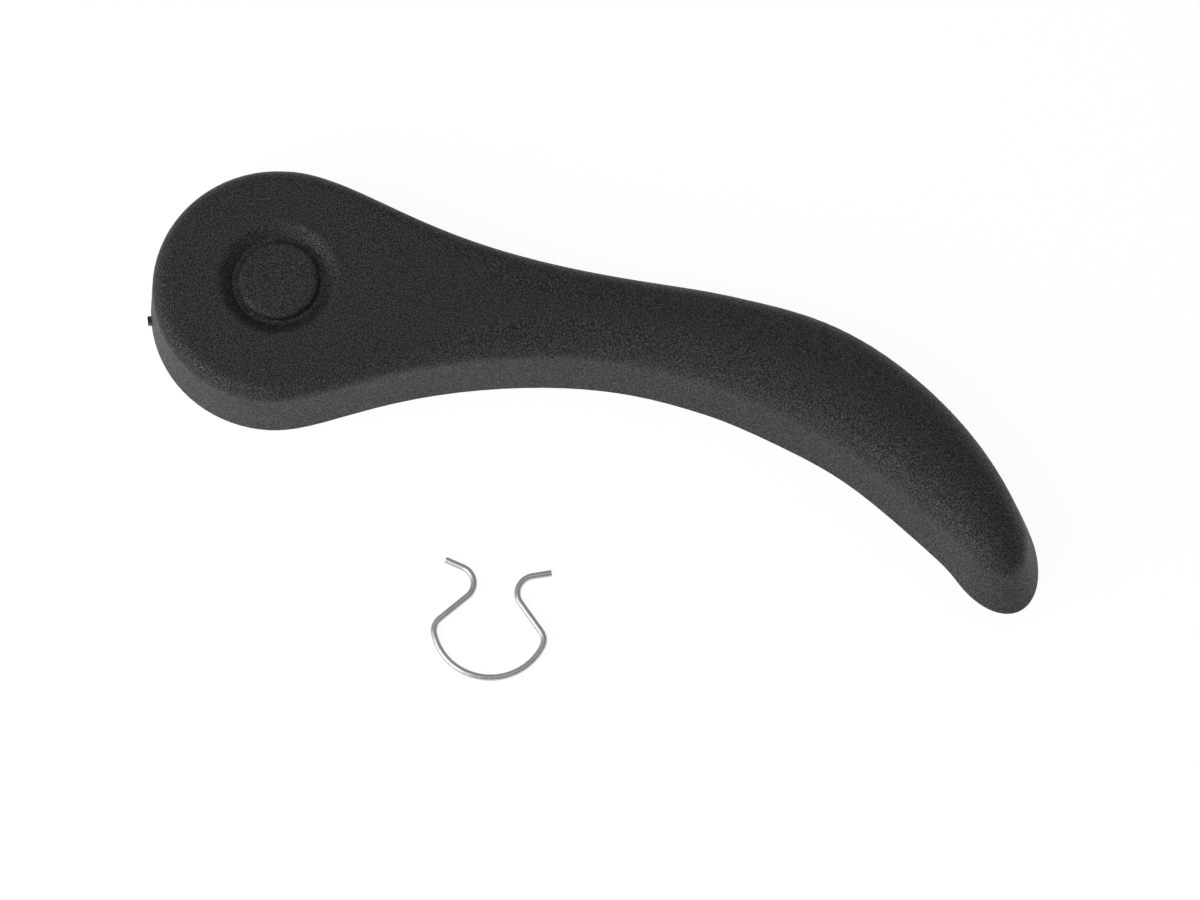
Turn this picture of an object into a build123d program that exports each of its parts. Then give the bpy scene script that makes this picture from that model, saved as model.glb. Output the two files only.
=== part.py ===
"""Car seat recliner lever with the spring clip that holds it on its spindle.

The lever is one moulded piece: a round hub, an arm that narrows to a waist and a
drooping tail, hollow behind, with a socket boss in the hub. The clip lies beside it.
Millimetres. The origin is on the spindle axis at the rim, +Z out of the front face,
+X along the arm, and the tail droops towards -Y.
"""
from build123d import *
from math import atan, atan2, cos, degrees, hypot, radians, sin, sqrt, tan
import os

# Outline of the lever at its rim. From the hub's middle the middle line goes on in steps,
# each with its heading below +X, to places where the lever has a given half width
hub_radius = 24.4
hub_setback = 0.6
hub_drop = 0.7
hub_heading = 3.0
flank_step, flank_heading, flank_half = 12.5, 3.4, 21.6
shoulder_step, shoulder_heading, shoulder_half = 12.4, 5.8, 16.9
neck_step, neck_heading, neck_half = 22.0, 5.9, 11.7
waist_step, waist_heading, waist_half = 23.2, 7.2, 10.5
belly_step, belly_heading, belly_half = 28.1, 15.3, 12.3
knee_step, knee_heading, knee_half = 28.2, 33.9, 11.5
toe_step, toe_heading, toe_half = 12.0, 47.7, 10.4
tip_step, tip_heading, tip_half = 9.9, 54.4, 8.5
tip_turn = 66.3
tip_length = 14.4
tip_join = 4.0
tip_lap = 1.0
section_count = 12
flat_enough = 0.001

# Height, lean of the side walls, rounding of the top edge and crown of the face
lever_height = 15.5
hub_lean, tail_lean = 5.0, 12.0
hub_edge_radius, tail_edge_radius, tip_edge_radius = 3.2, 4.8, 5.8
crown_rise = 2.4
crown_start = 20.0

# Moulded shell and its ribs
side_wall = 2.4
face_wall = 2.6
rib_thickness = 1.5
arm_rib_recess = 1.5
hub_rib_count = 6
cross_rib_start = 24.0
cross_rib_pitch = 14.0
crown_drop = 0.6
rim_overrun = 1.0

# Spindle socket in the hub, plain at its mouth and end and toothed between
socket_radius = 7.5
boss_wall = 2.1
roof_thickness = 2.8
ring_backing = 2.0
tooth_depth = 0.7
tooth_count = 18
tooth_length = 3.6
tooth_land = 0.5

# Ring pressed into the front of the hub round a plain disc
disc_radius = 7.8
disc_drop = 0.5
disc_edge_radius = 1.1
ring_floor_width = 1.0
ring_slope_width = 1.9
ring_lip_width = 1.2
ring_depth = 2.0
ring_lip_depth = 0.35
ring_lip_overrun = 0.04

# Break-off stub of the moulding gate on the rim
gate_angle = 186.0
gate_width = 1.4
gate_height = 1.5
gate_length = 0.6

# Spring clip of round wire, and the slots that take its legs
wire_diameter = 1.2
clip_bite = 0.72
bow_clearance = 0.6
shoulder_bend = 3.0
leg_slant = 42.1
leg_length = 6.8
neck_bend = 3.4
end_angle = 17.0
end_length = 3.6
slot_clearance = 0.2
slot_base = 3.0
clip_reach, clip_fall, clip_turn = 40.2, 63.4, -7.5

# Sizes that follow from those above
boss_radius = socket_radius + boss_wall
socket_depth = lever_height - disc_drop - roof_thickness
wire_radius = wire_diameter / 2
bow_radius = boss_radius + bow_clearance + wire_radius
leg_offset = socket_radius - clip_bite
slot_width = wire_diameter + 2 * slot_clearance
slot_top = slot_base + slot_width
ring_outer_radius = disc_radius + ring_floor_width + ring_slope_width + ring_lip_width


def make_stations():
    """Places along the middle line, from the hub's middle to the tip's, with Z the half width."""
    steps = [
        (flank_step, flank_heading, flank_half),
        (shoulder_step, shoulder_heading, shoulder_half),
        (neck_step, neck_heading, neck_half),
        (waist_step, waist_heading, waist_half),
        (belly_step, belly_heading, belly_half),
        (knee_step, knee_heading, knee_half),
        (toe_step, toe_heading, toe_half),
        (tip_step, tip_heading, tip_half),
    ]
    stations = [Vector(-hub_setback, -hub_drop, hub_radius)]
    for step, heading, half_width in steps:
        moved = stations[-1] + Vector(step, 0).rotate(Axis.Z, -heading)
        stations.append(Vector(moved.X, moved.Y, half_width))
    return stations


stations = make_stations()
hub_centre = Vector(stations[0].X, stations[0].Y)
tip_centre = Vector(stations[-1].X, stations[-1].Y)
tip_forward = Vector(1, 0).rotate(Axis.Z, -tip_turn)
belly_reach = stations[5].X


def make_guide():
    """Curve down the middle of the lever whose Z is the half width there."""
    join_share = tip_join / tip_length
    join_half = tip_half * sqrt(1 - join_share**2)
    join = tip_centre + tip_forward * tip_join
    taper = tip_half * join_share / (tip_length * sqrt(1 - join_share**2))
    start = (1, -sin(radians(hub_heading)), 0)
    end = (tip_forward.X, tip_forward.Y, -taper)
    return Spline(*stations[:-1], (join.X, join.Y, join_half), tangents=[start, end])


guide = make_guide()


def smooth_share(value, start, end):
    """0 before start, 1 after end, and a smooth rise between."""
    share = min(max((value - start) / (end - start), 0), 1)
    return share * share * (3 - 2 * share)


def section_lines(half_width, reach):
    """Lean of the wall, slope at the crown's edge, and corner where those two lines meet."""
    share = smooth_share(reach, crown_start, belly_reach)
    late_share = smooth_share(reach, belly_reach, tip_centre.X)
    lean = radians(hub_lean + (tail_lean - hub_lean) * share)
    slope = atan(2 * crown_rise * share / half_width)
    bend = hub_edge_radius + (tail_edge_radius - hub_edge_radius) * share
    bend += (tip_edge_radius - tail_edge_radius) * late_share
    trim = bend * tan((radians(90) - lean - slope) / 2)
    rise = (trim * sin(slope) + half_width * tan(slope)) / 2
    corner_z = (lever_height - rise) / (1 - tan(lean) * tan(slope) / 2)
    corner = Vector(half_width - corner_z * tan(lean), corner_z)
    return lean, slope, bend, trim, corner


def outer_points(half_width, reach):
    """Foot, wall top, bend middle, bend end and crown apex of half a section."""
    lean, slope, bend, trim, corner = section_lines(half_width, reach)
    wall_top = corner - Vector(-sin(lean), cos(lean)) * trim
    bend_end = corner + Vector(-cos(slope), sin(slope)) * trim
    centre = wall_top + Vector(-cos(lean), -sin(lean)) * bend
    bend_middle = centre + (corner - centre).normalized() * bend
    apex = Vector(0, corner.Y + corner.X * tan(slope))
    return Vector(half_width, 0), wall_top, bend_middle, bend_end, apex


def hollow_points(half_width, reach):
    """Foot and corner of half the hollow's section, under a flat roof."""
    share = smooth_share(reach, crown_start, belly_reach)
    lean = radians(hub_lean + (tail_lean - hub_lean) * share)
    wall_foot = half_width - side_wall / cos(lean)
    roof = lever_height - face_wall - crown_drop * crown_rise * share
    foot = Vector(wall_foot + rim_overrun * tan(lean), -rim_overrun)
    return foot, Vector(wall_foot - roof * tan(lean), roof)


def upright_plane(point, along):
    """Upright plane across a direction, with X to its left and Y up."""
    forward = Vector(along.X, along.Y).normalized()
    left = Vector(-forward.Y, forward.X)
    return Plane(origin=(point.X, point.Y, 0), x_dir=left, z_dir=forward)


def across(point):
    """The same point on the other half of a section."""
    return Vector(-point.X, point.Y)


def outer_wire(u):
    """Closed outline of the lever's section at share u of the guide."""
    point, along = guide.position_at(u), guide.tangent_at(u)
    foot, wall_top, bend_middle, bend_end, apex = outer_points(point.Z, point.X)
    outline = Wire([
        Line(across(foot), foot),
        Line(foot, wall_top),
        ThreePointArc(wall_top, bend_middle, bend_end),
        Bezier(bend_end, apex, across(bend_end)),
        ThreePointArc(across(bend_end), across(bend_middle), across(wall_top)),
        Line(across(wall_top), across(foot)),
    ])
    return upright_plane(point, along).location * outline


def hollow_wire(u):
    """Closed outline of the hollow's section at share u of the guide."""
    point, along = guide.position_at(u), guide.tangent_at(u)
    foot, corner = hollow_points(point.Z, point.X)
    outline = Polyline(across(foot), foot, corner, across(corner), close=True)
    return upright_plane(point, along).location * outline.wire()


def outer_turn(half_width, reach):
    """Half a turn of half a section about its upright middle line."""
    foot, wall_top, bend_middle, bend_end, apex = outer_points(half_width, reach)
    peak = (bend_end + across(bend_end)) / 4 + apex / 2
    crowned = peak.Y - bend_end.Y > flat_enough
    crown = Bezier(bend_end, (bend_end + apex) / 2, peak) if crowned else Line(bend_end, peak)
    outline = [
        Line(foot, wall_top),
        ThreePointArc(wall_top, bend_middle, bend_end),
        crown,
        Line(peak, (0, foot.Y)),
        Line((0, foot.Y), foot),
    ]
    return revolve(Plane.XZ * make_face(outline), Axis.Z, 180)


def hollow_turn(half_width, reach):
    """Half a turn of half the hollow's section about its upright middle line."""
    foot, corner = hollow_points(half_width, reach)
    outline = Polyline(foot, corner, (0, corner.Y), (0, foot.Y), close=True)
    return revolve(Plane.XZ * make_face(outline), Axis.Z, 180)


def tip_end(turn, length, start):
    """The long round end of the tail, stretched from half a turn, ahead of a plane across it."""
    dome = scale(turn, by=(1, length, 1))
    front = split(dome, bisect_by=Plane.ZX.offset(start), keep=Keep.TOP)
    return Pos(tip_centre.X, tip_centre.Y) * Rot(0, 0, -90 - tip_turn) * front


def cut_wire(tip, start):
    """Outline of the face at which a tip end starts."""
    plane_point = tip_centre + tip_forward * start
    back = Axis((plane_point.X, plane_point.Y, 0), tip_forward)
    return tip.faces().sort_by(back)[0].outer_wire()


def lever_form(wire_at, turn, wall):
    """Solid form through sections, round at the hub's back and at the tip."""
    stretch = (tip_length - wall) / (tip_half - wall)
    hub_end = turn(hub_radius, hub_centre.X)
    hub_end = Pos(hub_centre.X, hub_centre.Y) * Rot(0, 0, 90 - hub_heading) * hub_end
    tip_turned = turn(tip_half, tip_centre.X)
    starts = [tip_join, tip_join + tip_lap]
    tips = [tip_end(tip_turned, stretch, start) for start in starts]
    count = section_count - 1
    wires = [wire_at(i / count) for i in range(count)]
    wires += [cut_wire(tip, start) for tip, start in zip(tips, starts)]
    return Solid.make_loft(wires) + hub_end + tips[-1]


def arm_ribs():
    """One rib down the middle of the arm and others across it at an even pitch."""
    points = [guide.position_at(i / (section_count - 1)) for i in range(section_count)]
    spine = Spline([(point.X, point.Y) for point in points])
    ribbon = trace(spine, rib_thickness)
    ribs = Pos(0, 0, arm_rib_recess) * extrude(ribbon, lever_height, dir=(0, 0, 1))
    distance = cross_rib_start
    while distance < spine.length:
        point = spine.position_at(distance, PositionMode.LENGTH)
        along = spine.tangent_at(distance, PositionMode.LENGTH)
        blade = Pos(0, arm_rib_recess) * Rectangle(
            2 * hub_radius, lever_height, align=(Align.CENTER, Align.MIN)
        )
        ribs += extrude(upright_plane(point, along) * blade, rib_thickness / 2, both=True)
        distance += cross_rib_pitch
    return ribs


def hub_ribs():
    """Ribs from the socket boss out to the hub's wall."""
    blade = Pos(0, 0, arm_rib_recess) * Box(
        hub_radius, rib_thickness, lever_height, align=(Align.MIN, Align.CENTER, Align.MIN)
    )
    turns = [Rot(0, 0, 360 * i / hub_rib_count) for i in range(1, hub_rib_count)]
    return [turn * blade for turn in turns]


def upright_cylinder(radius, low, high):
    """Cylinder on the spindle axis between two heights."""
    return Pos(0, 0, low) * Cylinder(
        radius, high - low, align=(Align.CENTER, Align.CENTER, Align.MIN)
    )


def clip_room():
    """Space round the boss, below the hub's ribs, that the fitted clip needs."""
    reach = max(hypot(point.X, point.Y) for point in clip_path().vertices())
    radius = reach + wire_radius + bow_clearance
    return upright_cylinder(radius, -1, slot_top + wire_radius)


def socket_cut():
    """Blind socket with a ring of teeth between its plain mouth and its plain end."""
    bore = upright_cylinder(socket_radius, -1, socket_depth)
    pitch = 360 / tooth_count
    half_land = tooth_land / 2
    groove = make_face(
        Polyline(
            (socket_radius - half_land, -socket_radius * sin(radians(pitch / 2)) + half_land),
            (socket_radius + tooth_depth, 0),
            (socket_radius - half_land, socket_radius * sin(radians(pitch / 2)) - half_land),
            close=True,
        )
    )
    tooth_base = slot_top + wire_radius
    grooves = [
        Pos(0, 0, tooth_base) * Rot(0, 0, i * pitch) * extrude(groove, tooth_length)
        for i in range(tooth_count)
    ]
    return bore + grooves


def leg_slots():
    """Two slots through the boss that the clip's legs pass along."""
    slot = Pos(leg_offset, 0, slot_base) * Box(
        slot_width, 4 * boss_radius, slot_width, align=(Align.CENTER, Align.CENTER, Align.MIN)
    )
    return [Rot(0, 0, leg_slant) * slot, Rot(0, 0, 180 - leg_slant) * slot]


def ring_recess():
    """Space over the disc and in the ring round it, out to the face of the hub."""
    face, over = lever_height, lever_height + 1
    disc_top, floor = face - disc_drop, face - ring_depth
    slope_start = disc_radius + ring_floor_width
    lip_start = slope_start + ring_slope_width
    lip_end = (ring_outer_radius, face + ring_lip_overrun)
    disc_shoulder = (disc_radius - disc_edge_radius, disc_top)
    profile = [
        Line((0, over), (0, disc_top)),
        Line((0, disc_top), disc_shoulder),
        TangentArc(disc_shoulder, (disc_radius, disc_top - disc_edge_radius), tangent=(1, 0)),
        Line((disc_radius, disc_top - disc_edge_radius), (disc_radius, floor)),
        Line((disc_radius, floor), (slope_start, floor)),
        Line((slope_start, floor), (lip_start, face - ring_lip_depth)),
        TangentArc(lip_end, (lip_start, face - ring_lip_depth), tangent=(-1, 0)),
        Line(lip_end, (ring_outer_radius, over)),
        Line((ring_outer_radius, over), (0, over)),
    ]
    return revolve(Plane.XZ * make_face(profile), Axis.Z)


def gate_stub():
    """Rough stub that the moulding gate leaves at the rim."""
    stub = Box(
        side_wall, gate_width, gate_height, align=(Align.MAX, Align.CENTER, Align.MIN)
    )
    place = Pos(hub_centre.X, hub_centre.Y) * Rot(0, 0, gate_angle)
    return place * Pos(hub_radius + gate_length) * stub


def make_lever():
    """The whole moulded lever."""
    boss = upright_cylinder(boss_radius, -2, lever_height)
    roof = lever_height - ring_depth - ring_backing
    pad = upright_cylinder(ring_outer_radius + ring_backing, roof, lever_height)
    ribs = (arm_ribs() + hub_ribs()) - clip_room()
    pockets = lever_form(hollow_wire, hollow_turn, side_wall) - ribs - boss - pad
    front = lever_form(outer_wire, outer_turn, 0) - ring_recess()
    return front + gate_stub() - pockets - socket_cut() - leg_slots()


def clip_path():
    """Centre line of the clip about the spindle axis, from the bow's middle to one end."""
    slant = radians(leg_slant)
    across = leg_offset - shoulder_bend
    along = sqrt((bow_radius - shoulder_bend) ** 2 - across**2)
    bend_angle = degrees(atan2(-along, across)) + leg_slant
    bow = JernArc((0, -bow_radius), (1, 0), bow_radius, bend_angle + 90)
    shoulder = JernArc(bow @ 1, bow % 1, shoulder_bend, leg_slant - bend_angle)
    leg = Line(shoulder @ 1, shoulder @ 1 + (shoulder % 1) * leg_length)
    neck = JernArc(leg @ 1, leg % 1, neck_bend, -(90 + leg_slant - end_angle))
    end = Line(neck @ 1, neck @ 1 + (neck % 1) * end_length)
    return Wire([bow, shoulder, leg, neck, end])


def make_clip():
    """Omega-shaped spring clip, lying flat beside the lever."""
    half = clip_path()
    path = Wire(half.edges() + mirror(half, Plane.YZ).edges())
    section = Plane(origin=path @ 0, z_dir=path % 0) * Circle(wire_radius)
    wire = sweep(section, path)
    return Pos(clip_reach, -clip_fall, wire_radius) * Rot(0, 0, clip_turn) * wire


pieces = {"lever": make_lever(), "retaining_clip": make_clip()}
os.makedirs("parts", exist_ok=True)
for name, piece in pieces.items():
    piece.label = name
    export_step(piece, "parts/" + name + ".step")
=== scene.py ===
"""Looks of a moulded car seat recliner lever and the loose spring clip beside it.

The lever keeps its solid's shape and gets a grained plastic. The clip is bent again
from one round wire. A white floor, soft studio light and a camera complete the stage.
Lengths are metres and angles radians, as Blender keeps them.
"""
from math import radians, sqrt, sin, cos, atan2

import bpy
from bpy.props import FloatProperty, FloatVectorProperty, IntProperty, PointerProperty
from bpy.types import Operator, Panel, PropertyGroup
from mathutils import Matrix, Vector


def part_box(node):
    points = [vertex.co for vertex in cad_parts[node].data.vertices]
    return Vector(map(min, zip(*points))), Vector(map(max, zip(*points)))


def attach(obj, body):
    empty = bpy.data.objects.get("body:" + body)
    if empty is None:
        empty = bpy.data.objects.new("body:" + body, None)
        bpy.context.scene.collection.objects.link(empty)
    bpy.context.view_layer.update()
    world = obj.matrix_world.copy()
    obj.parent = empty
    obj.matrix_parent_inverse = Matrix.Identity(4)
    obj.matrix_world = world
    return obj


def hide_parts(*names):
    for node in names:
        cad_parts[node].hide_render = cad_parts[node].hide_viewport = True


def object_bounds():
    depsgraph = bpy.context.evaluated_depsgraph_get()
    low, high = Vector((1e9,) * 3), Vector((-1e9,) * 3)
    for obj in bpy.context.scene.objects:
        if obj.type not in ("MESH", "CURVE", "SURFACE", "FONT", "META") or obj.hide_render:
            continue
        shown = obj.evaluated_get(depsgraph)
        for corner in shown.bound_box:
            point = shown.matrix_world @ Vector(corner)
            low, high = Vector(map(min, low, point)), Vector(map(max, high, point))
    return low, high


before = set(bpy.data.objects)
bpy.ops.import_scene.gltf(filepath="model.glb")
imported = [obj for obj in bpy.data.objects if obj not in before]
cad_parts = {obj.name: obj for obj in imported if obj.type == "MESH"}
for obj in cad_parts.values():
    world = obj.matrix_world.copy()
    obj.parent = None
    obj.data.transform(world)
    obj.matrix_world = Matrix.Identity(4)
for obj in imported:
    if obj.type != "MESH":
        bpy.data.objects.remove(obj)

bl_info = {
    "name": "Seat recliner lever",
    "version": (1, 0, 0),
    "blender": (4, 5, 0),
    "location": "3D View > Sidebar > Lever",
    "description": "Dresses a moulded seat lever and its wire clip, and sets their stage",
    "category": "Object",
}

CAD_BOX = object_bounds()
BODY = "root"
LEVER_NODE, CLIP_NODE = "lever", "retaining_clip"
MM = 0.001

FLOOR_PAINT = (0.86, 0.86, 0.86, 1)
DUST_COLOUR = (0.16, 0.155, 0.145)
# Each lamp's name, place, the point it is turned to, its width and its watts
LAMPS = [
    ("broad", (-0.1, 0.0, 0.95), (0, 0, 0), 0.7, 0.4),
    ("key", (-0.46, -0.28, 0.36), (-0.03, 0, 0), 0.56, 2.3),
]


class LeverFinish(PropertyGroup):
    """Colour, grain and wear of the moulded lever."""

    colour: FloatVectorProperty(
        name="Colour", description="Colour of the plastic", subtype="COLOR",
        size=3, min=0, max=1, default=(0.0148, 0.0157, 0.0145),
    )
    roughness: FloatProperty(
        name="Roughness", description="Roughness of the grained face",
        subtype="FACTOR", min=0, max=1, default=0.52,
    )
    grain_size: FloatProperty(
        name="Grain size", description="Width of one pebble of the moulded grain",
        unit="LENGTH", subtype="DISTANCE", precision=5, min=0.00005, default=0.24 * MM,
    )
    grain_depth: FloatProperty(
        name="Grain depth", description="Depth of the moulded grain",
        unit="LENGTH", subtype="DISTANCE", precision=6, min=0, default=0.2 * MM,
    )
    peak_gloss: FloatProperty(
        name="Peak gloss", description="Sheen of the grain's peaks over its dull pits",
        subtype="FACTOR", min=0, max=1, default=0.9,
    )
    peak_roughness: FloatProperty(
        name="Peak roughness", description="Roughness of the sheen on the grain's peaks",
        subtype="FACTOR", min=0, max=1, default=0.5,
    )
    reflection: FloatProperty(
        name="Reflection", description="Strength of the plastic's reflection, 0.5 usually",
        subtype="FACTOR", min=0, max=1, default=0.45,
    )
    edge_width: FloatProperty(
        name="Edge width", description="Width of the softened, polished edges",
        unit="LENGTH", subtype="DISTANCE", precision=5, min=0, default=0.5 * MM,
    )


class ClipShape(PropertyGroup):
    """Bends and lengths of the wire clip, in the order in which the wire meets them."""

    wire_diameter: FloatProperty(
        name="Wire diameter", description="Diameter of the round wire",
        unit="LENGTH", subtype="DISTANCE", precision=5, min=0.0002, default=1.2 * MM,
    )
    end_length: FloatProperty(
        name="End length", description="Straight stretch at each cut end",
        unit="LENGTH", subtype="DISTANCE", precision=5, min=0, default=3.6 * MM,
    )
    end_chamfer: FloatProperty(
        name="End chamfer", description="Length over which each cut end thins",
        unit="LENGTH", subtype="DISTANCE", precision=5, min=0, default=0.12 * MM,
    )
    neck_radius: FloatProperty(
        name="Neck radius", description="Bend from each end into its leg",
        unit="LENGTH", subtype="DISTANCE", precision=5, min=0.0005, default=3.4 * MM,
    )
    neck_turn: FloatProperty(
        name="Neck turn", description="Angle that the neck bends through",
        unit="ROTATION", subtype="ANGLE", default=radians(115.1),
    )
    leg_length: FloatProperty(
        name="Leg length", description="Straight stretch that locks in the lever's slot",
        unit="LENGTH", subtype="DISTANCE", precision=5, min=0, default=6.8 * MM,
    )
    leg_slant: FloatProperty(
        name="Leg slant", description="Angle of each leg to the line across the clip",
        unit="ROTATION", subtype="ANGLE", default=radians(42.1),
    )
    leg_offset: FloatProperty(
        name="Leg offset", description="Distance of each leg's line from the bow's centre",
        unit="LENGTH", subtype="DISTANCE", precision=5, default=6.78 * MM,
    )
    shoulder_radius: FloatProperty(
        name="Shoulder radius", description="Bend from each leg into the bow",
        unit="LENGTH", subtype="DISTANCE", precision=5, min=0.0005, default=3.0 * MM,
    )
    bow_radius: FloatProperty(
        name="Bow radius", description="Radius of the bow, to the middle of the wire",
        unit="LENGTH", subtype="DISTANCE", precision=5, min=0.001, default=10.8 * MM,
    )
    turned: FloatProperty(
        name="Turned", description="How far the clip lies turned from the lever's axes",
        unit="ROTATION", subtype="ANGLE", default=radians(-7.5),
    )
    stations: IntProperty(
        name="Stations", description="Stations along the wire",
        min=50, max=2000, default=420,
    )


class ClipFinish(PropertyGroup):
    """Colour and wear of the plated wire."""

    colour: FloatVectorProperty(
        name="Colour", description="Colour of the zinc plating", subtype="COLOR",
        size=3, min=0, max=1, default=(0.8, 0.81, 0.825),
    )
    roughness: FloatProperty(
        name="Roughness", description="Roughness of the drawn wire",
        subtype="FACTOR", min=0, max=1, default=0.33,
    )
    line_depth: FloatProperty(
        name="Line depth", description="Depth of the fine lines that drawing leaves",
        unit="LENGTH", subtype="DISTANCE", precision=6, min=0, default=0.0018 * MM,
    )


class StageSetup(PropertyGroup):
    """Floor, light and camera."""

    distance: FloatProperty(
        name="Camera distance", description="From the camera to the point it looks at",
        unit="LENGTH", subtype="DISTANCE", min=0.2, default=1.2,
    )
    elevation: FloatProperty(
        name="Camera elevation", description="Angle of the camera above the floor",
        unit="ROTATION", subtype="ANGLE", default=radians(71),
    )
    lens: FloatProperty(
        name="Focal length", description="Focal length of the camera",
        unit="CAMERA", min=10, default=190.1,
    )
    aim: FloatVectorProperty(
        name="Aim", description="Point that the camera looks at", unit="LENGTH",
        subtype="XYZ", size=3, default=(0.0607, -0.029, 0),
    )
    floor_size: FloatProperty(
        name="Floor size", description="Width of the floor",
        unit="LENGTH", subtype="DISTANCE", min=1, default=8,
    )
    floor_gap: FloatProperty(
        name="Floor gap", description="How far the floor lies under the lever's rim",
        unit="LENGTH", subtype="DISTANCE", precision=5, min=0, default=0.05 * MM,
    )
    shadow_share: FloatProperty(
        name="Shadow share", description="How much of the floor's shadow the camera sees",
        subtype="FACTOR", min=0, max=1, default=0.14,
    )
    mirrored_share: FloatProperty(
        name="Mirrored share", description="How much of the lit floor reflections show",
        subtype="FACTOR", min=0, max=1, default=0.55,
    )
    floor_glow: FloatProperty(
        name="Floor glow", description="Brightness of the floor's even part",
        min=0, default=1.09,
    )
    surroundings: FloatProperty(
        name="Surroundings", description="Brightness of the room round the stage",
        min=0, default=0.28,
    )


def add_node(tree, kind, inputs=None, **settings):
    """A node of one kind, with its settings, and its inputs as values or links."""
    node = tree.nodes.new(kind)
    for name, value in settings.items():
        setattr(node, name, value)
    for name, value in (inputs or {}).items():
        if isinstance(value, bpy.types.NodeSocket):
            tree.links.new(value, node.inputs[name])
        else:
            node.inputs[name].default_value = value
    return node


def maths(tree, operation, first, second=0.0, third=None, clamp=False):
    """Result of a Math node on one to three values or sockets."""
    inputs = {0: first, 1: second} if third is None else {0: first, 1: second, 2: third}
    node = add_node(tree, "ShaderNodeMath", inputs, operation=operation, use_clamp=clamp)
    return node.outputs[0]


def new_group(name, kind, inputs, outputs):
    """A node group with named sockets, and its input and output nodes."""
    group = bpy.data.node_groups.new(name, kind)
    for label, socket, default in inputs:
        made = group.interface.new_socket(label, in_out="INPUT", socket_type=socket)
        if default is not None:
            made.default_value = default
    for label, socket in outputs:
        group.interface.new_socket(label, in_out="OUTPUT", socket_type=socket)
    return group, group.nodes.new("NodeGroupInput"), group.nodes.new("NodeGroupOutput")


def moulded_grain_group():
    """Pebbled grain that a spark-eroded mould leaves: its height, its peaks, a mottle."""
    group, given, result = new_group(
        "Moulded grain", "ShaderNodeTree",
        [("Vector", "NodeSocketVector", None), ("Grain size", "NodeSocketFloat", 0.0003)],
        [("Height", "NodeSocketFloat"), ("Peak", "NodeSocketFloat"),
         ("Mottle", "NodeSocketFloat")],
    )
    scale = maths(group, "DIVIDE", 1.0, given.outputs["Grain size"])
    place = add_node(
        group, "ShaderNodeVectorMath",
        {0: given.outputs["Vector"], "Scale": scale}, operation="SCALE",
    ).outputs[0]
    pebbles = add_node(
        group, "ShaderNodeTexVoronoi", {"Vector": place, "Scale": 1.0, "Smoothness": 0.6},
        feature="SMOOTH_F1",
    )
    fine = add_node(
        group, "ShaderNodeTexNoise",
        {"Vector": place, "Scale": 0.9, "Detail": 1.5, "Roughness": 0.5},
    )
    pebble_share, fine_share = 0.7, 0.9
    rounded = maths(group, "MULTIPLY", pebbles.outputs["Distance"], pebble_share)
    height = maths(group, "MULTIPLY_ADD", fine.outputs["Fac"], fine_share, rounded)
    group.links.new(height, result.inputs["Height"])
    peak = add_node(
        group, "ShaderNodeMapRange",
        {"Value": fine.outputs["Fac"], "From Min": 0.45, "From Max": 0.61},
    ).outputs["Result"]
    group.links.new(peak, result.inputs["Peak"])
    cloud = add_node(
        group, "ShaderNodeTexNoise",
        {"Vector": place, "Scale": 0.03, "Detail": 4.0, "Roughness": 0.55},
    )
    group.links.new(cloud.outputs["Fac"], result.inputs["Mottle"])
    return group


def edge_wear_group():
    """Softened edges: their normal, and a broken-up mask of where they are rubbed."""
    group, given, result = new_group(
        "Edge wear", "ShaderNodeTree",
        [("Vector", "NodeSocketVector", None), ("Width", "NodeSocketFloat", 0.0003)],
        [("Worn", "NodeSocketFloat"), ("Normal", "NodeSocketVector")],
    )
    bevel = add_node(
        group, "ShaderNodeBevel", {"Radius": given.outputs["Width"]}, samples=6
    )
    flat = add_node(group, "ShaderNodeNewGeometry").outputs["Normal"]
    agree = add_node(
        group, "ShaderNodeVectorMath", {0: bevel.outputs[0], 1: flat},
        operation="DOT_PRODUCT",
    ).outputs["Value"]
    bent = maths(group, "SUBTRACT", 1.0, agree)
    steepness = 6.0
    edge = maths(group, "MULTIPLY", bent, steepness, clamp=True)
    noise = add_node(
        group, "ShaderNodeTexNoise",
        {"Vector": given.outputs["Vector"], "Scale": 900.0, "Detail": 3.0},
    ).outputs["Fac"]
    patchy = add_node(
        group, "ShaderNodeMapRange",
        {"Value": noise, "From Min": 0.35, "From Max": 0.65},
    ).outputs["Result"]
    group.links.new(maths(group, "MULTIPLY", edge, patchy), result.inputs["Worn"])
    group.links.new(bevel.outputs[0], result.inputs["Normal"])
    return group


def handling_group():
    """What handling and packing leave: faint smudges and a few specks of dust."""
    group, given, result = new_group(
        "Handling", "ShaderNodeTree",
        [("Vector", "NodeSocketVector", None)],
        [("Smudge", "NodeSocketFloat"), ("Dust", "NodeSocketFloat")],
    )
    broad = add_node(
        group, "ShaderNodeTexNoise",
        {"Vector": given.outputs["Vector"], "Scale": 45.0, "Detail": 5.0,
         "Distortion": 0.8},
    ).outputs["Fac"]
    smudge = add_node(
        group, "ShaderNodeMapRange", {"Value": broad, "From Min": 0.38, "From Max": 0.7}
    ).outputs["Result"]
    cells = add_node(
        group, "ShaderNodeTexVoronoi",
        {"Vector": given.outputs["Vector"], "Scale": 420.0, "Randomness": 1.0},
    )
    near = add_node(
        group, "ShaderNodeMapRange",
        {"Value": cells.outputs["Distance"], "From Min": 0.09, "From Max": 0.03},
    ).outputs["Result"]
    empty_share = 0.86
    chosen = maths(group, "GREATER_THAN", cells.outputs["Color"], empty_share)
    group.links.new(smudge, result.inputs["Smudge"])
    group.links.new(maths(group, "MULTIPLY", near, chosen), result.inputs["Dust"])
    return group


def use_group(tree, name, make, inputs):
    """One use of a shared node group in a material. The group is made on its first use."""
    group = bpy.data.node_groups.get(name) or make()
    return add_node(tree, "ShaderNodeGroup", inputs, node_tree=group)


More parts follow.
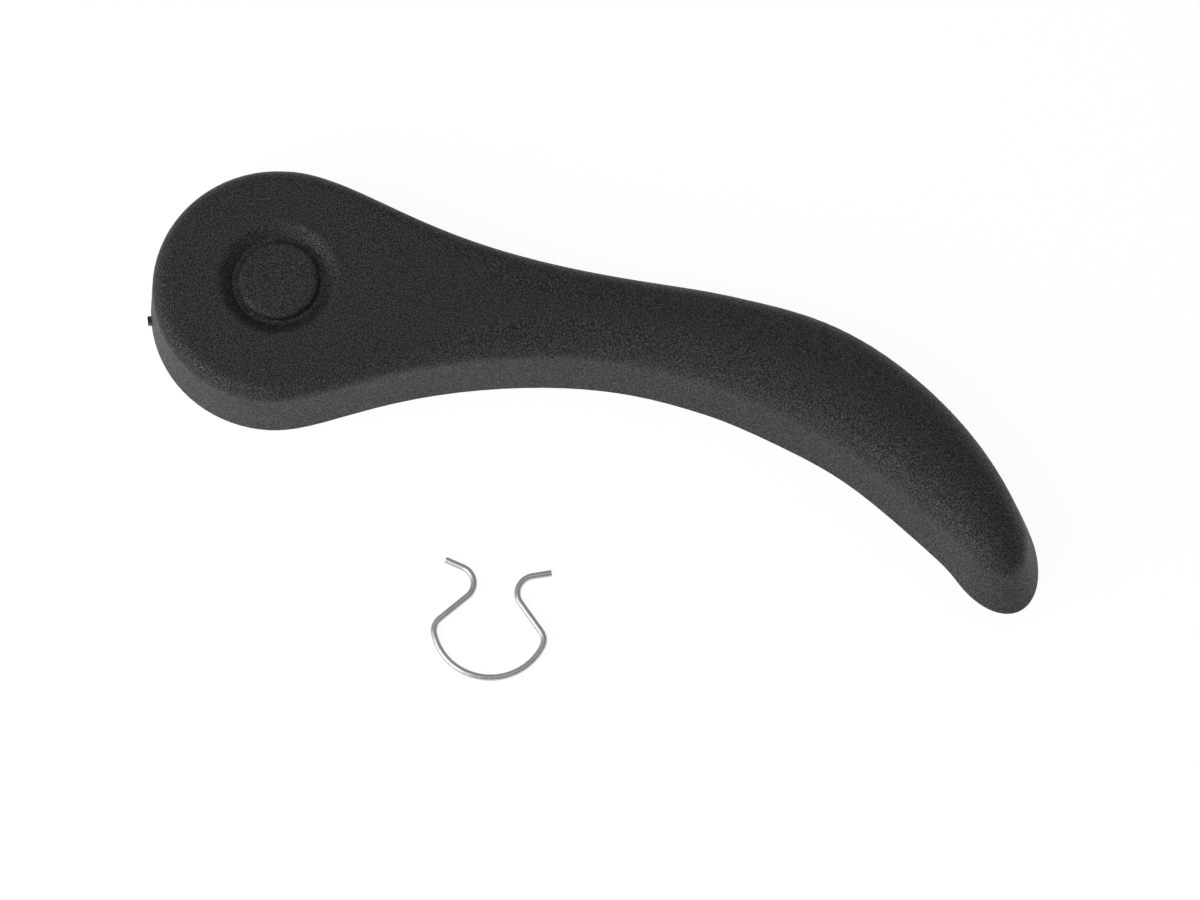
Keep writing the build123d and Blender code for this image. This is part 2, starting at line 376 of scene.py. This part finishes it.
def emptied_tree(owner):
    """The node tree of a new material or world, without the nodes it comes with."""
    owner.use_nodes = True
    owner.node_tree.nodes.clear()
    return owner.node_tree


def new_material(name):
    """A material, its node tree and its shader, already joined to the output."""
    material = bpy.data.materials.new(name)
    tree = emptied_tree(material)
    shader = add_node(tree, "ShaderNodeBsdfPrincipled")
    add_node(tree, "ShaderNodeOutputMaterial", {"Surface": shader.outputs[0]})
    return material, tree, shader


def mix_colour(tree, share, first, second):
    """A colour mixed from two, each a socket or an RGB value."""
    node = add_node(tree, "ShaderNodeMix", {0: share}, data_type="RGBA")
    for place, value in (("A", first), ("B", second)):
        socket = next(s for s in node.inputs if s.name == place and s.type == "RGBA")
        if isinstance(value, bpy.types.NodeSocket):
            tree.links.new(value, socket)
        else:
            socket.default_value = (*value, 1)
    return next(s for s in node.outputs if s.type == "RGBA")


def plastic_material(finish):
    """Black plastic with a fine moulded grain, polished a little along its edges, whose
    colour has painted shade in the grain's pits and a painted sheen on its peaks.
    """
    material, tree, shader = new_material("Grained black plastic")
    place = add_node(tree, "ShaderNodeTexCoord").outputs["Object"]
    grain = use_group(
        tree, "Moulded grain", moulded_grain_group,
        {"Vector": place, "Grain size": finish.grain_size},
    )
    edge = use_group(
        tree, "Edge wear", edge_wear_group, {"Vector": place, "Width": finish.edge_width}
    )
    marks = use_group(tree, "Handling", handling_group, {"Vector": place})
    base = Vector(finish.colour)
    # The colour in the grain's pits is painted shade and the colour on its peaks a painted
    # sheen; the patches are tone that varies at random.
    painted_pit_shade, painted_peak_sheen, in_patches, on_edges = (
        base * factor for factor in (0.05, 3.6, 1.3, 1.8)
    )
    patch_share, dust_share = 0.25, 0.35
    # Painted shade in the pits and a painted sheen on the peaks, mixed by the grain's peak
    # mask.
    grain_shade_and_sheen = mix_colour(tree, grain.outputs["Peak"], painted_pit_shade, painted_peak_sheen)
    patchy = maths(tree, "MULTIPLY", grain.outputs["Mottle"], patch_share)
    mottled = mix_colour(tree, patchy, grain_shade_and_sheen, in_patches)
    rubbed = mix_colour(tree, edge.outputs["Worn"], mottled, on_edges)
    dusty = maths(tree, "MULTIPLY", marks.outputs["Dust"], dust_share)
    colour = mix_colour(tree, dusty, rubbed, DUST_COLOUR)
    tree.links.new(colour, shader.inputs["Base Color"])
    rough = finish.roughness
    changes = [
        (marks.outputs["Smudge"], -0.05), (edge.outputs["Worn"], -0.08),
        (grain.outputs["Mottle"], 0.04),
    ]
    for where, change in changes:
        rough = maths(tree, "MULTIPLY_ADD", where, change, rough)
    tree.links.new(rough, shader.inputs["Roughness"])
    gloss = maths(tree, "MULTIPLY", grain.outputs["Peak"], finish.peak_gloss)
    tree.links.new(gloss, shader.inputs["Coat Weight"])
    shader.inputs["Coat Roughness"].default_value = finish.peak_roughness
    shader.inputs["Specular IOR Level"].default_value = finish.reflection
    bump = add_node(
        tree, "ShaderNodeBump",
        {"Strength": 1.0, "Distance": finish.grain_depth,
         "Height": grain.outputs["Height"], "Normal": edge.outputs["Normal"]},
    )
    tree.links.new(bump.outputs[0], shader.inputs["Normal"])
    return material


def wire_material(finish):
    """Bright plated spring wire with the fine lines of drawing along it."""
    material, tree, shader = new_material("Bright drawn wire")
    place = add_node(tree, "ShaderNodeTexCoord").outputs["Object"]
    around = add_node(tree, "ShaderNodeAttribute", attribute_name="around")
    along = add_node(tree, "ShaderNodeAttribute", attribute_name="along")
    lengthways = add_node(tree, "ShaderNodeCombineXYZ", {"Z": along.outputs["Fac"]})
    drawn = add_node(
        tree, "ShaderNodeVectorMath",
        {0: around.outputs["Vector"], 1: lengthways.outputs[0]}, operation="ADD",
    ).outputs[0]
    lines = add_node(
        tree, "ShaderNodeTexNoise",
        {"Vector": drawn, "Scale": 9.0, "Detail": 5.0, "Roughness": 0.7},
    ).outputs["Fac"]
    plating = add_node(
        tree, "ShaderNodeTexNoise", {"Vector": place, "Scale": 1400.0, "Detail": 4.0}
    ).outputs["Fac"]
    marks = use_group(tree, "Handling", handling_group, {"Vector": place})
    base = Vector(finish.colour)
    dark, bright, dull = (base * factor for factor in (0.72, 1.15, 0.6))
    dull_share, rough_spread = 0.35, 0.14
    plated = mix_colour(tree, plating, dark, bright)
    dulled = maths(tree, "MULTIPLY", marks.outputs["Smudge"], dull_share)
    colour = mix_colour(tree, dulled, plated, dull)
    tree.links.new(colour, shader.inputs["Base Color"])
    shader.inputs["Metallic"].default_value = 1.0
    least = finish.roughness - rough_spread / 2
    rough = maths(tree, "MULTIPLY_ADD", plating, rough_spread, least)
    tree.links.new(rough, shader.inputs["Roughness"])
    bump = add_node(
        tree, "ShaderNodeBump",
        {"Strength": 1.0, "Distance": finish.line_depth, "Height": lines},
    )
    tree.links.new(bump.outputs[0], shader.inputs["Normal"])
    return material


def link_object(name, data):
    """A new object in the scene that holds this data."""
    made = bpy.data.objects.new(name, data)
    bpy.context.scene.collection.objects.link(made)
    return made


def clip_turns(shape):
    """Angles that the clip's bow and each of its shoulders bend through, anticlockwise."""
    across = shape.leg_offset - shape.shoulder_radius
    reach = shape.bow_radius - shape.shoulder_radius
    along = sqrt(reach**2 - across**2)
    shoulder_at = atan2(-along, across) + shape.leg_slant
    half_bow = shoulder_at + radians(90)
    return 2 * half_bow, shape.leg_slant - shoulder_at


def wire_tree():
    """Tree that bends a straight wire: each bend has a start, a length and a turn."""
    lengths = [
        "End length", "Neck radius", "Neck turn", "Leg length", "Shoulder radius",
        "Shoulder turn", "Bow radius", "Bow turn", "Wire diameter", "Chamfer",
    ]
    inputs = [(label, "NodeSocketFloat", 0.001) for label in lengths]
    inputs.append(("Stations", "NodeSocketInt", 400))
    inputs.append(("Material", "NodeSocketMaterial", None))
    tree, given, result = new_group(
        "Bent wire", "GeometryNodeTree", inputs, [("Geometry", "NodeSocketGeometry")]
    )
    value = given.outputs
    neck, shoulder, bow = (
        maths(tree, "MULTIPLY", value[part + " radius"],
              maths(tree, "ABSOLUTE", value[part + " turn"]))
        for part in ("Neck", "Shoulder", "Bow")
    )
    half = [
        (value["End length"], None), (neck, value["Neck turn"]),
        (value["Leg length"], None), (shoulder, value["Shoulder turn"]),
    ]
    runs = [*half, (bow, value["Bow turn"]), *reversed(half)]
    reached = 0.0
    bends = []
    for length, turn in runs:
        end = maths(tree, "ADD", reached, length)
        if turn is not None:
            bends.append((reached, end, turn))
        reached = end
    index = add_node(tree, "GeometryNodeInputIndex").outputs[0]
    steps = maths(tree, "SUBTRACT", value["Stations"], 1.0)
    step = maths(tree, "DIVIDE", reached, steps)
    middle = maths(tree, "MULTIPLY", maths(tree, "ADD", index, 0.5), step)
    heading = 0.0
    for start, end, turn in bends:
        turned = add_node(
            tree, "ShaderNodeMapRange",
            {"Value": middle, "From Min": start, "From Max": end, "To Max": turn},
        ).outputs["Result"]
        heading = maths(tree, "ADD", heading, turned)
    leap = add_node(
        tree, "ShaderNodeCombineXYZ",
        {"X": maths(tree, "MULTIPLY", maths(tree, "COSINE", heading), step),
         "Y": maths(tree, "MULTIPLY", maths(tree, "SINE", heading), step)},
    ).outputs[0]
    walked = add_node(tree, "GeometryNodeAccumulateField", data_type="FLOAT_VECTOR")
    tree.links.new(leap, walked.inputs[0])
    line = add_node(
        tree, "GeometryNodeMeshLine", {"Count": value["Stations"], "Offset": (0, 0, 0.001)}
    )
    placed = add_node(
        tree, "GeometryNodeSetPosition",
        {"Geometry": line.outputs[0], "Position": walked.outputs["Trailing"]},
    )
    path = add_node(tree, "GeometryNodeMeshToCurve", {"Mesh": placed.outputs[0]})
    at = maths(tree, "MULTIPLY", index, step)
    from_end = maths(tree, "MINIMUM", at, maths(tree, "SUBTRACT", reached, at))
    end_girth, full_girth = 0.8, 1.0
    girth = add_node(
        tree, "ShaderNodeMapRange",
        {"Value": from_end, "From Max": value["Chamfer"],
         "To Min": end_girth, "To Max": full_girth},
    ).outputs["Result"]
    thinned = add_node(
        tree, "GeometryNodeSetCurveRadius", {"Curve": path.outputs[0], "Radius": girth}
    )
    marked = add_node(
        tree, "GeometryNodeStoreNamedAttribute",
        {"Geometry": thinned.outputs[0], "Name": "along", "Value": at},
        data_type="FLOAT", domain="POINT",
    )
    wire_radius = maths(tree, "DIVIDE", value["Wire diameter"], 2.0)
    ring = add_node(
        tree, "GeometryNodeCurvePrimitiveCircle", {"Resolution": 20, "Radius": wire_radius}
    )
    outward = add_node(
        tree, "ShaderNodeVectorMath",
        {0: add_node(tree, "GeometryNodeInputPosition").outputs[0]}, operation="NORMALIZE",
    ).outputs[0]
    rounded = add_node(
        tree, "GeometryNodeStoreNamedAttribute",
        {"Geometry": ring.outputs[0], "Name": "around", "Value": outward},
        data_type="FLOAT_VECTOR", domain="POINT",
    )
    tube = add_node(
        tree, "GeometryNodeCurveToMesh",
        {"Curve": marked.outputs[0], "Profile Curve": rounded.outputs[0],
         "Fill Caps": True},
    )
    real = add_node(tree, "GeometryNodeRealizeInstances", {"Geometry": tube.outputs[0]})
    painted = add_node(
        tree, "GeometryNodeSetMaterial",
        {"Geometry": real.outputs[0], "Material": value["Material"]},
    )
    tree.links.new(painted.outputs[0], result.inputs[0])
    return tree


def made_by_tree(name, tree, values):
    """A plain mesh object made by a Geometry Nodes tree from named input values."""
    maker = link_object(name + "_maker", bpy.data.meshes.new(name + "_maker"))
    modifier = maker.modifiers.new("Tree", "NODES")
    modifier.node_group = tree
    for item in tree.interface.items_tree:
        if item.in_out == "INPUT" and item.name in values:
            modifier[item.identifier] = values[item.name]
    graph = bpy.context.evaluated_depsgraph_get()
    mesh = bpy.data.meshes.new_from_object(
        maker.evaluated_get(graph), preserve_all_data_layers=True, depsgraph=graph
    )
    maker.modifiers.remove(modifier)
    bpy.data.objects.remove(maker)
    mesh.name = name
    return link_object(name, mesh)


def middle_of(low, high):
    """Middle of a box."""
    return (low + high) / 2


def move_onto_node(piece, node, turned):
    """Turns a piece's mesh and lays it where the middle of a solid's box is."""
    piece.data.transform(Matrix.Rotation(turned, 4, "Z"))
    points = [vertex.co for vertex in piece.data.vertices]
    low = Vector(min(point[axis] for point in points) for axis in range(3))
    high = Vector(max(point[axis] for point in points) for axis in range(3))
    shift = middle_of(*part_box(node)) - middle_of(low, high)
    piece.data.transform(Matrix.Translation(shift))


class LEVER_OT_dress_lever(Operator):
    """Give the moulded lever its grained plastic"""

    bl_idname = "seat_lever.dress_lever"
    bl_label = "Dress the lever"

    def execute(self, context):
        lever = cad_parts[LEVER_NODE]
        lever.data.materials.clear()
        lever.data.materials.append(plastic_material(context.scene.lever_finish))
        return {"FINISHED"}


class LEVER_OT_bend_clip(Operator):
    """Bend the spring clip from one wire and lay it where its solid is"""

    bl_idname = "seat_lever.bend_clip"
    bl_label = "Bend the clip"

    def execute(self, context):
        shape = context.scene.clip_shape
        bow_turn, shoulder_turn = clip_turns(shape)
        material = wire_material(context.scene.clip_finish)
        values = {
            "End length": shape.end_length, "Neck radius": shape.neck_radius,
            "Neck turn": -shape.neck_turn, "Leg length": shape.leg_length,
            "Shoulder radius": shape.shoulder_radius, "Shoulder turn": shoulder_turn,
            "Bow radius": shape.bow_radius, "Bow turn": bow_turn,
            "Wire diameter": shape.wire_diameter, "Chamfer": shape.end_chamfer,
            "Stations": shape.stations, "Material": material,
        }
        clip = made_by_tree("clip_wire", wire_tree(), values)
        clip.data.shade_smooth()
        start_turn = shape.neck_turn - shoulder_turn - bow_turn / 2
        move_onto_node(clip, CLIP_NODE, start_turn + shape.turned)
        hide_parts(CLIP_NODE)
        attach(clip, BODY)
        return {"FINISHED"}


def floor_material(setup):
    """White floor that stays white to the camera and keeps a soft shadow."""
    material = bpy.data.materials.new("White floor")
    tree = emptied_tree(material)
    path = add_node(tree, "ShaderNodeLightPath")
    seen = maths(
        tree, "MAXIMUM",
        path.outputs["Is Camera Ray"], path.outputs["Is Transmission Ray"],
    )
    share = maths(tree, "MULTIPLY", seen, 1 - setup.shadow_share)
    share = maths(
        tree, "MULTIPLY_ADD",
        path.outputs["Is Glossy Ray"], 1 - setup.mirrored_share, share,
    )
    paint = add_node(tree, "ShaderNodeBsdfDiffuse", {"Color": FLOOR_PAINT})
    glow = add_node(
        tree, "ShaderNodeEmission", {"Color": (1, 1, 1, 1), "Strength": setup.floor_glow}
    )
    mix = add_node(
        tree, "ShaderNodeMixShader", {0: share, 1: paint.outputs[0], 2: glow.outputs[0]}
    )
    add_node(tree, "ShaderNodeOutputMaterial", {"Surface": mix.outputs[0]})
    return material


def add_floor(setup):
    """A wide white floor just under the lever."""
    half = setup.floor_size / 2
    low = CAD_BOX[0].z - setup.floor_gap
    mesh = bpy.data.meshes.new("floor")
    corners = [
        (-half, -half, low), (half, -half, low), (half, half, low), (-half, half, low),
    ]
    mesh.from_pydata(corners, [], [(0, 1, 2, 3)])
    mesh.materials.append(floor_material(setup))
    floor = link_object("floor", mesh)


def add_light(name, place, target, size, power):
    """A square soft light at a place, turned to its target."""
    data = bpy.data.lights.new(name, "AREA")
    data.shape = "SQUARE"
    data.size = size
    data.energy = power
    lamp = link_object(name, data)
    lamp.location = place
    lamp.visible_camera = False
    beam = Vector(target) - Vector(place)
    lamp.rotation_euler = beam.to_track_quat("-Z", "Y").to_euler()


def add_world(setup):
    """Plain pale surroundings."""
    world = bpy.data.worlds.new("Studio")
    bpy.context.scene.world = world
    tree = emptied_tree(world)
    background = add_node(
        tree, "ShaderNodeBackground",
        {"Color": (1, 1, 1, 1), "Strength": setup.surroundings},
    )
    add_node(tree, "ShaderNodeOutputWorld", {"Surface": background.outputs[0]})


def add_camera(setup):
    """The camera, at the photographed angle."""
    data = bpy.data.cameras.new("camera")
    data.lens = setup.lens
    data.sensor_width = 36
    data.sensor_fit = "HORIZONTAL"
    data.clip_start, data.clip_end = 0.01, 50
    camera = link_object("camera", data)
    back = Vector((0, -cos(setup.elevation), sin(setup.elevation)))
    camera.location = Vector(setup.aim) + back * setup.distance
    camera.rotation_euler = (-back).to_track_quat("-Z", "Y").to_euler()
    bpy.context.scene.camera = camera


class LEVER_OT_set_stage(Operator):
    """Add the floor, the studio light and the camera"""

    bl_idname = "seat_lever.set_stage"
    bl_label = "Set the stage"

    def execute(self, context):
        setup = context.scene.stage_setup
        add_floor(setup)
        add_world(setup)
        for lamp in LAMPS:
            add_light(*lamp)
        add_camera(setup)
        context.scene.view_settings.view_transform = "Standard"
        return {"FINISHED"}


class LEVER_PT_panel(Panel):
    """Sizes, finishes and steps of the seat lever"""

    bl_label = "Seat lever"
    bl_idname = "LEVER_PT_panel"
    bl_space_type = "VIEW_3D"
    bl_region_type = "UI"
    bl_category = "Lever"

    def draw(self, context):
        for title, group, operator in STEPS:
            box = self.layout.box()
            box.label(text=title)
            for name in group:
                settings = getattr(context.scene, name)
                for key in type(settings).__annotations__:
                    box.prop(settings, key)
            box.operator(operator)


STEPS = [
    ("Lever", ["lever_finish"], LEVER_OT_dress_lever.bl_idname),
    ("Clip", ["clip_shape", "clip_finish"], LEVER_OT_bend_clip.bl_idname),
    ("Stage", ["stage_setup"], LEVER_OT_set_stage.bl_idname),
]
SETTINGS = {
    "lever_finish": LeverFinish, "clip_shape": ClipShape,
    "clip_finish": ClipFinish, "stage_setup": StageSetup,
}
CLASSES = [
    *SETTINGS.values(), LEVER_OT_dress_lever, LEVER_OT_bend_clip, LEVER_OT_set_stage,
    LEVER_PT_panel,
]


def register():
    """Registers the classes and hangs the settings on the scene."""
    for kind in CLASSES:
        bpy.utils.register_class(kind)
    for name, kind in SETTINGS.items():
        setattr(bpy.types.Scene, name, PointerProperty(type=kind))


def unregister():
    """Takes the settings and the classes away again."""
    for name in SETTINGS:
        delattr(bpy.types.Scene, name)
    for kind in reversed(CLASSES):
        bpy.utils.unregister_class(kind)


def main():
    """Dresses both pieces and sets the stage, in order."""
    register()
    bpy.ops.seat_lever.dress_lever()
    bpy.ops.seat_lever.bend_clip()
    bpy.ops.seat_lever.set_stage()


if __name__ == "__main__":
    main()
